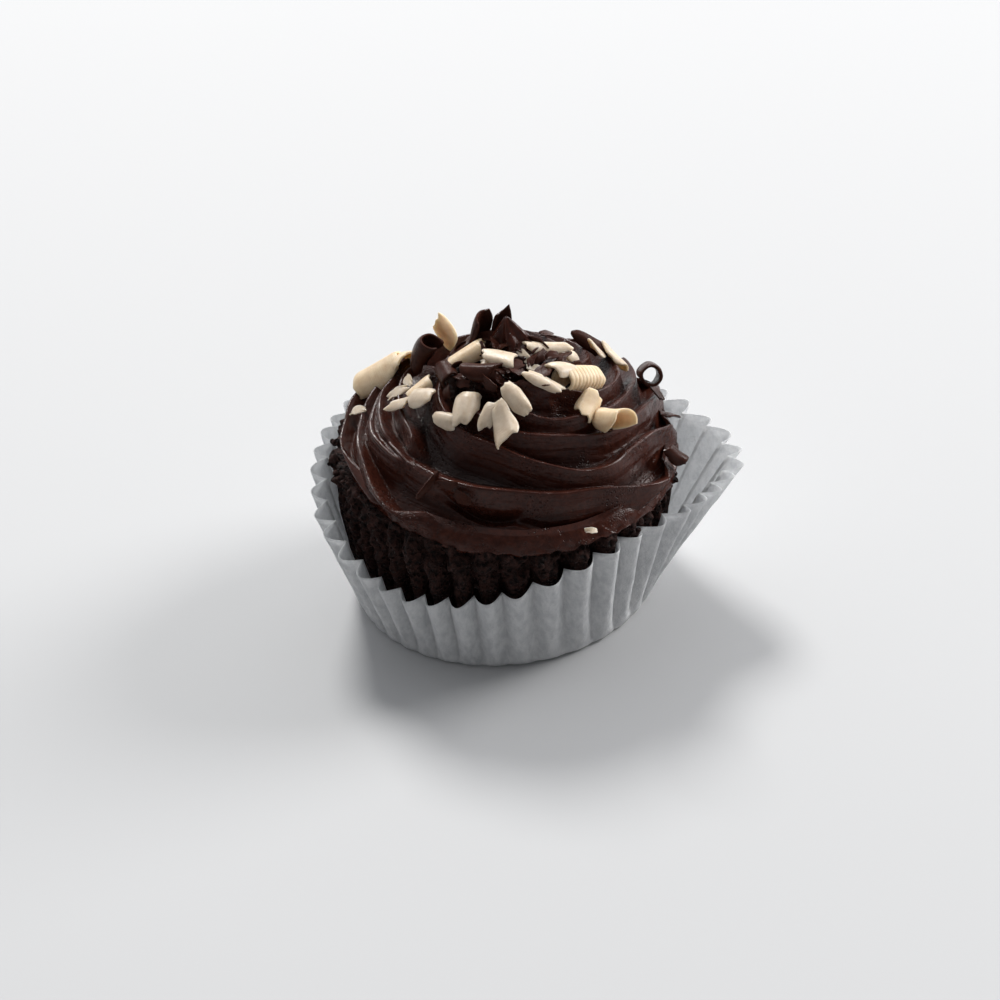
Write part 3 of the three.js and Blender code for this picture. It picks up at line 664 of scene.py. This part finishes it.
def cake():
    """The fluted cake with its craggy crust, and the loose crumbs on it."""
    foot = CASE_SHEET + CAKE_OVER_PAPER

    def place(share, row):
        pleat = PLEATS * share
        azimuth = pleat_azimuth(pleat)
        rim = rim_height(azimuth)
        crust_radius = CAKE_RADIUS + CAKE_SHIFT * np.cos(np.radians(azimuth))
        level = np.clip((row - 1) / CAKE_LEVELS, 0, 1)
        up = np.clip((row - 1 - CAKE_LEVELS) / CRUST_RINGS, 0, 1)
        top = np.clip((row - 1 - CAKE_LEVELS - CRUST_RINGS) / (TOP_RINGS + 1), 0, 1)
        over = polar(crust_radius, azimuth, 0)
        ceiling = frosting_plane(over[:, 0], over[:, 1], -CAKE_IN_FROSTING)
        joint = np.minimum(rim, ceiling - CRUST_LEAST)    # where the crust starts
        z = np.maximum(joint * level, foot)
        z = z + (ceiling - z) * up
        swell = np.minimum(1, z / CAKE_SWELL_HEIGHT)**CAKE_SWELL_POWER
        fluted = CAKE_FLUTE * np.clip(1.1 - up, 0, 1) * crease(pleat)**FLUTE_NARROW
        radius = CAKE_FOOT + (crust_radius - CAKE_FOOT) * swell - fluted - up**4
        wall = case_wall(pleat, np.clip(z / rim, 0, 1), CAKE_INSET)
        limit = np.hypot(wall[:, 0], wall[:, 1])
        radius = np.where(z < rim + 0.5, np.minimum(radius, limit), radius)
        placed = polar(radius * (1 - top), azimuth, z)
        under = frosting_plane(placed[:, 0], placed[:, 1], -CAKE_IN_FROSTING)
        placed[:, 2] = np.where(top > 0, under, placed[:, 2])
        # The crust is craggy where it shows, most of all under the frosting.
        shown = np.clip((z - rim + 3) / 3, 0, 1)
        rough = np.clip(0.12 + shown * (0.3 + 1.6 * up), 0, 1.2) * (top < 0.4) * (row > 1)
        lumps = 1.3 * grain(placed, 3.2, 1) + 1.0 * grain(placed, 1.6, 2) + 0.5 * grain(placed, 0.8, 3)
        outward = polar(1.0, azimuth, 0.35 * up)
        placed += outward * (rough * (lumps - 0.15))[:, None]
        placed[row == 0] = (0, 0, foot)
        return placed

    rows = 2 + CAKE_LEVELS + CRUST_RINGS + TOP_RINGS + 1
    bm, _, row = turned(rows, CAKE_COLUMNS, place)
    on_crust = (row > CAKE_LEVELS + 2) & (row < CAKE_LEVELS + CRUST_RINGS - 3)
    crust = [vert.co.copy() for vert, shown in zip(bm.verts, on_crust) if shown]
    crumb = crumb_finish()
    finished("cake_crumb", bm, crumb, ["cake"])
    loose_crumbs(crust, crumb)


def loose_crumbs(places, crumb):
    """Rough crumbs that cling to the crust."""
    luck = random.Random(9)
    bm = bmesh.new()
    for place in luck.sample(places, CRUMBS):
        size = luck.uniform(*CRUMB_SIZES)
        turn = rotation("Z", luck.uniform(0, 360)) @ rotation("X", luck.uniform(0, 360))
        there = Matrix.Translation(place) @ turn
        grown = bmesh.ops.create_icosphere(bm, subdivisions=2, radius=size, matrix=there)["verts"]
        for vert in grown:
            vert.co += (vert.co - place) * 0.5 * noise.noise(vert.co / (1.6 * size))
    bmesh.ops.recalc_face_normals(bm, faces=bm.faces)
    finished("loose_crumbs", bm, crumb)


# ---- Frosting ----

FOLD_LINES = [(rows[0][0], rows[-1][0], curve_through(rows, 1), depth, width)
              for rows, depth, width in FOLDS]
FOLD_END = 6              # degrees over which a fold opens
FOLD_WANDER = 0.25        # how far it strays from its line


def fold_at(azimuth, distance):
    """Depth of the folds and tears at a place."""
    depth = np.zeros_like(distance)
    for start, end, line, most, width in FOLD_LINES:
        off = (distance - line(azimuth) - FOLD_WANDER * np.sin(np.radians(azimuth * 11))) / width
        ends = np.clip(np.minimum(azimuth - start, end - azimuth) / FOLD_END, 0, 1)
        depth = np.maximum(depth, most * ends * np.clip(1 - np.abs(off), 0, 1)**0.8)
    return depth


def piped_points(azimuth, distance):
    """Points of the piped surface, and each one's place along, across and up its ridge."""
    radius, height, out_r, out_z = outline_at(azimuth, distance)
    fade = np.clip(np.minimum(distance / FOOT_FADE, (SLOPE_LENGTH - distance) / TIP_FADE), 0, 1)
    crest, across = crest_at(azimuth, distance)
    out = fade * (crest * (CREST + DEEP) - DEEP) - fold_at(azimuth, distance)
    from_pit = np.hypot(np.radians(azimuth - PIT["azimuth"]) * radius, distance - PIT["distance"])
    out = out - PIT["depth"] * np.clip(1 - (from_pit / PIT["radius"])**2, 0, 1)
    points = polar(radius + out_r * out, azimuth, height + out_z * out)
    along = np.radians(azimuth) * radius
    flow = np.stack((along * 0.05, across, crest), axis=-1)
    return points, flow, fade


def frosting():
    """The piped swirl and its peak."""
    noted = {}

    def place(share, row):
        distance = SLOPE_LENGTH * np.clip((row - 1) / FROSTING_ROWS, 0, 1)
        azimuth = (360 * share - TWIST * distance) % 360
        points, flow, fade = piped_points(azimuth, distance)
        radial = polar(1.0, azimuth, 0.6)
        swell = SWELL * grain(points, 5.0, 4) + STREAK * grain(flow * (1, 1.2, 0), 1.0, 5)
        # Towards the top the ridges are broken up into folds and crevices.
        broken = np.clip((distance - JUMBLE_FROM) / (JUMBLE_FULL - JUMBLE_FROM), 0, 1)
        folds = 0.5 - 2.2 * np.abs(grain(points, 3.4, 6)) + 0.5 * grain(points, 1.5, 7)
        upward = polar(0.35, azimuth, 1.0)
        points += radial * (swell * fade)[:, None] + upward * (JUMBLE * broken * folds)[:, None]
        ragged = LIP * (grain(points, 2.6, 8) + 0.6 * grain(points, 1.1, 9))
        points[:, 2] += ragged * np.clip(1 - distance / LIP_FADE, 0, 1)
        points[row == 0] = (0, 0, 0)
        points[row == FROSTING_ROWS + 1] = (0, 0, TIP_HEIGHT)
        # The lowest band counts as crest, so it gets no painted groove shade.
        flow[:, 2] = np.maximum(flow[:, 2], np.clip(1.7 - distance / 5, 0, 1))    # no dark foot
        noted["flow"] = flow
        return carried(points, FROSTING_FRAME)

    bm, _, _ = turned(FROSTING_ROWS + 2, FROSTING_COLUMNS, place)
    cream = frosting_finish()
    piece = finished("piped_frosting", bm, cream, ["frosting"])
    note(piece, "flow", noted["flow"])
    frosting_peak(cream)


PEAK_ROWS = 26
PEAK_COLUMNS = 72
PEAK_FOLDS = 4
PEAK_FOLD = 0.28          # share of the radius by which the folds go in and out
PEAK_BEND = 0.9           # how far the tip leans over


def frosting_peak(cream):
    """The folded tip, sunk in the top."""
    frame_of_peak = slope_frame(PEAK["azimuth"], PEAK["distance"], 0, 0)
    noted = {}

    def place(share, row):
        up = np.clip((row - 1) / (PEAK_ROWS - 1), 0, 1)
        angle = 2 * np.pi * share
        fold = 1 + PEAK_FOLD * (1 - up * 0.6) * np.cos(angle * PEAK_FOLDS + 2.4 * up)
        fold = fold + 0.12 * np.cos(angle * 2 + 1)
        radius = PEAK["radius"] * (1 - up)**0.75 * fold
        radius = np.where((row == 0) | (row == PEAK_ROWS), 0, radius)
        points = polar(radius, 360 * share, PEAK["height"] * up - PEAK["sunk"])
        points[:, 0] += PEAK_BEND * up**2
        points[:, 2] += 0.25 * grain(points, 1.2, 14) * (1 - up)
        # Its z, the height up the peak, also sets the painted groove shade, darker towards the foot.
        noted["flow"] = np.stack((angle, up * 3, up), axis=-1)
        return carried(points, frame_of_peak)

    bm, _, _ = turned(PEAK_ROWS + 1, PEAK_COLUMNS, place)
    piece = finished("piped_peak", bm, cream)
    note(piece, "flow", noted["flow"])


# ---- Chocolate curls and flakes ----

CURL_ALONG = 30           # steps of the mesh along a shaving
CURL_ACROSS = 24          # and across it
CURL_THICK = 0.7
CURL_SINK = 0.6           # a roll's axis lies this share of its radius under its middle
END_ROUNDING = 0.85       # how much narrower a flat shaving is at its ends
END_POWER = 3
THIN_EDGE = 0.4           # share of the thickness left at a shaving's edge
THICK_FROM_EDGE = 0.9     # a shaving has its full thickness this far from its edge
SPIRAL = 30               # degrees by which one end of a roll is turned against the other
SADDLE = 0.5              # how far the ends bend up or down
SKEW = 0.6                # how far from square the ends are cut
WEDGE = 0.5               # how much wider a shaving is at one end
BROKEN = 0.17             # how uneven the broken edges are
RIDGED = 11               # the shaving with clear ridges left by the knife
CREAMY = (1, 2, 3, 4, 11, 13, 14, 20)    # shavings of the yellower white chocolate
DARK_SEEDS = 40           # the dark shavings' numbers for uneven edges start here
RIDGE_EVERY = 0.8
RIDGE_HEIGHT = 0.11
RIDGED_FINER = 4          # the ridged shaving's mesh has this many times the steps
FLAKE_STEPS = (10, 8)     # steps of a flake's mesh along and across
FLAKE_THICK = 0.5
FLAKE_POINT = 0.35        # how much narrower a flake is at its ends
FLAKE_BOW = 0.3           # how far its ends droop
SHARDS = 34               # tiny shards of dark chocolate on the broken top
SHARD_PLACES = (23, 34)   # their least and greatest distance up the slope
SHARD_LENGTHS = (2.0, 4.2)
SHARD_WIDTHS = (1.4, 2.8)
SHARD_LEANS = (-50, 70)
SHARP = 0.6               # edges bent more than this (radians) stay crisp
# Finishes: darker colour, lighter colour, roughness, softness to light, gloss.
CREAM_CHOCOLATE = ((0.69, 0.50, 0.315), (0.80, 0.625, 0.43), 0.3, 0.45, 0.4)
PALE_CHOCOLATE = ((0.56, 0.44, 0.32), (0.70, 0.58, 0.45), 0.24, 0.45, 0.5)
DARK_CHOCOLATE = ((0.030, 0.0095, 0.0062), (0.052, 0.0175, 0.0115), 0.13, 0, 0.1)


def wave(value, seed):
    """A smooth uneven line through -1 to 1."""
    return 1.6 * noise.noise(Vector((value, seed * 3.7 + 0.31, seed * 1.3 + 0.17)))


def broken_line(value, seed):
    """A line of straight bits through -1 to 1."""
    whole = math.floor(value)
    part = value - whole
    return wave(whole * 1.37 + 0.21, seed) * (1 - part) + wave(whole * 1.37 + 1.58, seed) * part


def shaving_point(along, over, side, row, seed, ridges):
    """Point of a rolled shaving: shares -0.5 to 0.5 along its axis and across its sheet, height over it."""
    length, width, roll, taper = row[3:7]
    turn = math.radians(roll) / width
    rounding = END_ROUNDING * (1 - roll / 360) * (0.4 if roll > 200 else 0.5)
    share = 1 - rounding * abs(2 * along)**END_POWER
    share *= 1 + WEDGE * along * (1 if wave(seed * 3.3, 11) > 0 else -1)
    share *= 1 + BROKEN * broken_line(along * 4 + 0.4, seed + (over > 0) * 0.37)
    x = along * length * (1 + BROKEN * broken_line(over * 4 + 0.7, seed + (along > 0) * 0.53))
    x += SKEW * over * min(width, 4) * wave(seed * 1.9, 5)
    angle = over * width * share * turn + math.radians(SPIRAL) * along * wave(seed * 1.9, 3)
    middle = (1 - 0.5 * taper * (along + 0.5)) / turn
    radius = middle * (1 + 0.08 * wave(angle * 1.2 + 20, seed)) + side
    radius += ridges * abs(math.sin(math.pi * x / RIDGE_EVERY))
    z = radius * math.cos(angle) - CURL_SINK * middle
    z += SADDLE * wave(seed * 2.3, 7) * (2 * along)**2
    return Vector((x, radius * math.sin(angle), z))


def sheet_piece(name, shapes, material, nodes, thickness):
    """One piece from several closed sheets, each with its steps both ways, its size and
    point(along, over, height over the sheet)."""
    bm = bmesh.new()
    sheets = []
    for seed, (steps_along, steps_over, length, width, point) in enumerate(shapes):
        grid = bmesh.ops.create_grid(bm, x_segments=steps_along, y_segments=steps_over, size=0.5)["verts"]
        bm.normal_update()
        flat = list({face for vert in grid for face in vert.link_faces})
        before = set(bm.verts)
        bmesh.ops.solidify(bm, geom=flat, thickness=1.0)
        for vert in grid + [vert for vert in bm.verts if vert not in before]:
            along, over = vert.co.x, vert.co.y
            side = 0.5 if abs(vert.co.z) > 0.5 else -0.5
            edge = max(0, min((0.5 - abs(along)) * length, (0.5 - abs(over)) * width))
            full = min(1, edge / THICK_FROM_EDGE)**0.5
            side *= thickness * (THIN_EDGE + (1 - THIN_EDGE) * full)
            sheets.append((vert, (over * width, along * length * 6, seed * 3.0)))
            vert.co = point(along, over, side)
    bmesh.ops.recalc_face_normals(bm, faces=bm.faces)
    for edge in bm.edges:
        edge.smooth = edge.calc_face_angle(0) < SHARP
    bm.verts.index_update()
    sheets.sort(key=lambda pair: pair[0].index)
    values = [value for _, value in sheets]
    piece = finished(name, bm, material, nodes)
    note(piece, "sheet", values)


def curl(name, node, row, seed, material, ridges=0.0):
    """A shaving in the place of one solid curl, with ridges of that height."""
    azimuth, distance, heading, length, width = row[:5]
    pitch, lean, lift = row[7:]
    place = slope_frame(azimuth, distance, heading, lift) @ rotation("Y", -pitch) @ rotation("X", lean)

    def point(along, over, side):
        return place @ shaving_point(along, over, side, row, seed, ridges)

    steps = CURL_ALONG * (RIDGED_FINER if ridges else 1)
    shape = (steps, CURL_ACROSS, length, width, point)
    sheet_piece(name, [shape], material, [node], CURL_THICK)


def flakes(name, rows, material):
    """Chips of shaved chocolate, pressed into the frosting."""
    def shape(seed, azimuth, distance, heading, length, width, lean, height):
        place = slope_frame(azimuth, distance, heading, height) @ rotation("X", lean)

        def point(along, over, side):
            end = 1 - FLAKE_POINT * abs(2 * along)
            end += BROKEN * broken_line(along * 4, seed + (over > 0) * 0.4)
            x = along * length * (1 + 1.4 * BROKEN * broken_line(over * 4, seed + (along > 0) * 0.6))
            z = 0.6 * over * over - FLAKE_BOW * (2 * along)**2 + side
            return place @ Vector((x, over * width * end, z))

        return *FLAKE_STEPS, length, width, point

    shapes = [shape(seed, *row) for seed, row in enumerate(rows)]
    sheet_piece(name, shapes, material, (), FLAKE_THICK)


def shards(material):
    """Tiny shards of dark chocolate strewn over the top."""
    luck = random.Random(5)
    rows = []
    for _ in range(SHARDS):
        azimuth = luck.uniform(0, 360)
        distance = luck.uniform(*SHARD_PLACES)
        length = luck.uniform(*SHARD_LENGTHS)
        width = luck.uniform(*SHARD_WIDTHS)
        heading = luck.uniform(0, 360)
        rows.append([azimuth, distance, heading, length, width, luck.uniform(*SHARD_LEANS), 0.3])
    flakes("dark_shards", rows, material)


def chocolate():
    """All the white and dark shavings, flakes and shards."""
    cream = chocolate_finish("white_chocolate_cream", *CREAM_CHOCOLATE)
    pale = chocolate_finish("white_chocolate_pale", *PALE_CHOCOLATE)
    dark = chocolate_finish("dark_chocolate_shaving", *DARK_CHOCOLATE)
    for number, row in enumerate(WHITE_CURLS, 1):
        name, node = f"white_shaving_{number}", f"white_curl_{number}"
        white = cream if number in CREAMY else pale
        curl(name, node, row, number, white, RIDGE_HEIGHT if number == RIDGED else 0)
    for number, row in enumerate(DARK_CURLS, 1):
        name, node = f"dark_shaving_{number}", f"dark_curl_{number}"
        curl(name, node, row, number + DARK_SEEDS, dark)
    flakes("white_flakes", WHITE_FLAKES, pale)
    flakes("dark_flakes", DARK_FLAKES, dark)
    shards(dark)


# ---- Stage, light and camera ----

FLOOR_HALF = 2500
FLOOR_COLOUR = (0.50, 0.503, 0.51)
VIEW_ELEVATION = 38
VIEW_ROLL = 5                 # the cupcake leans this far counter-clockwise in the view
VIEW_DISTANCE = 600           # from the origin
PIXELS_PER_MM = 6             # at the origin
IMAGE = 1000
ORIGIN_AT = (506, 572)        # pixel where the origin falls
SENSOR = 36
ROOM_BACK = (-0.1, 0.98, 0.1)
# Brightness of the room from the front (0) to the back (1), and its faint blue.
ROOM_LIGHT = [(0.0, 0.36), (0.31, 0.09), (0.5, 0.50), (1.0, 0.95)]
ROOM_TINT = (1, 1.02, 1.05)
# Windows: name, place and size in metres, power, colour. Both face the cupcake.
WINDOWS = [
    ("window", (-0.2, 0.95, 0.95), 0.4, 16, (1.0, 0.99, 0.97)),
    ("side_window", (1.0, 0.4, 0.55), 0.6, 14, (1.0, 0.99, 0.98)),
]
WINDOW_AIM = Vector((0, 0, 0.02))


def stage_floor():
    """A plain pale floor."""
    bm = bmesh.new()
    bmesh.ops.create_grid(bm, x_segments=1, y_segments=1, size=FLOOR_HALF * MM)
    mesh = bpy.data.meshes.new("floor")
    bm.to_mesh(mesh)
    bm.free()
    floor = bpy.data.objects.new("floor", mesh)
    bpy.context.collection.objects.link(floor)
    floor.data.materials.append(Paint("pale_floor").surface(Base_Color=FLOOR_COLOUR, Roughness=0.7))


def soft_light(name, place, size, power, colour):
    """A round window of soft light."""
    data = bpy.data.lights.new(name, "AREA")
    data.shape = "DISK"
    data.size = size
    data.energy = power
    data.color = colour
    lamp = bpy.data.objects.new(name, data)
    bpy.context.collection.objects.link(lamp)
    lamp.location = place
    lamp.rotation_euler = (WINDOW_AIM - Vector(place)).to_track_quat("-Z", "Y").to_euler()


def light():
    """A room that is bright at the back, dimmer at the sides and dim in front, and two soft windows."""
    paint = Paint("soft_room", bpy.data.worlds)
    direction = paint.node("ShaderNodeTexCoord", output="Generated")
    toward_back = paint.node("ShaderNodeVectorMath", {"operation": "DOT_PRODUCT"},
                             {0: direction, 1: ROOM_BACK}, "Value")
    stops = [(place, tuple(strength * tint for tint in ROOM_TINT)) for place, strength in ROOM_LIGHT]
    room = paint.node("ShaderNodeValToRGB", {"stops": stops}, {"Fac": toward_back * 0.5 + 0.5}, "Color")
    glow = paint.node("ShaderNodeBackground", {}, {"Color": room})
    paint.node("ShaderNodeOutputWorld", {}, {"Surface": glow})
    bpy.context.scene.world = paint.owner
    for window in WINDOWS:
        soft_light(*window)


def camera():
    """Looks down on the front, rolled, with the origin at its own pixel."""
    focal = VIEW_DISTANCE * PIXELS_PER_MM           # in pixels
    elevation = math.radians(VIEW_ELEVATION)
    roll = math.radians(VIEW_ROLL)
    ahead = Vector((0, math.cos(elevation), -math.sin(elevation)))
    up = Vector((0, math.sin(elevation), math.cos(elevation)))
    right = Vector((1, 0, 0))
    across = right * math.cos(roll) - up * math.sin(roll)
    upward = right * math.sin(roll) + up * math.cos(roll)
    place = -ahead * VIEW_DISTANCE * MM
    aside = (IMAGE / 2 - ORIGIN_AT[0]) / focal
    above = (ORIGIN_AT[1] - IMAGE / 2) / focal
    aim = (ahead + across * aside + upward * above).normalized()
    upward = (upward - aim * upward.dot(aim)).normalized()
    across = aim.cross(upward)
    data = bpy.data.cameras.new("camera")
    data.sensor_width = SENSOR
    data.lens = focal * SENSOR / IMAGE
    data.clip_start = 0.01
    eye = bpy.data.objects.new("camera", data)
    bpy.context.collection.objects.link(eye)
    eye.matrix_world = Matrix.Translation(place) @ Matrix((across, upward, -aim)).transposed().to_4x4()
    bpy.context.scene.camera = eye


camera()
light()
stage_floor()
paper_case()
cake()
frosting()
chocolate()
bpy.context.scene.view_settings.view_transform = "Standard"
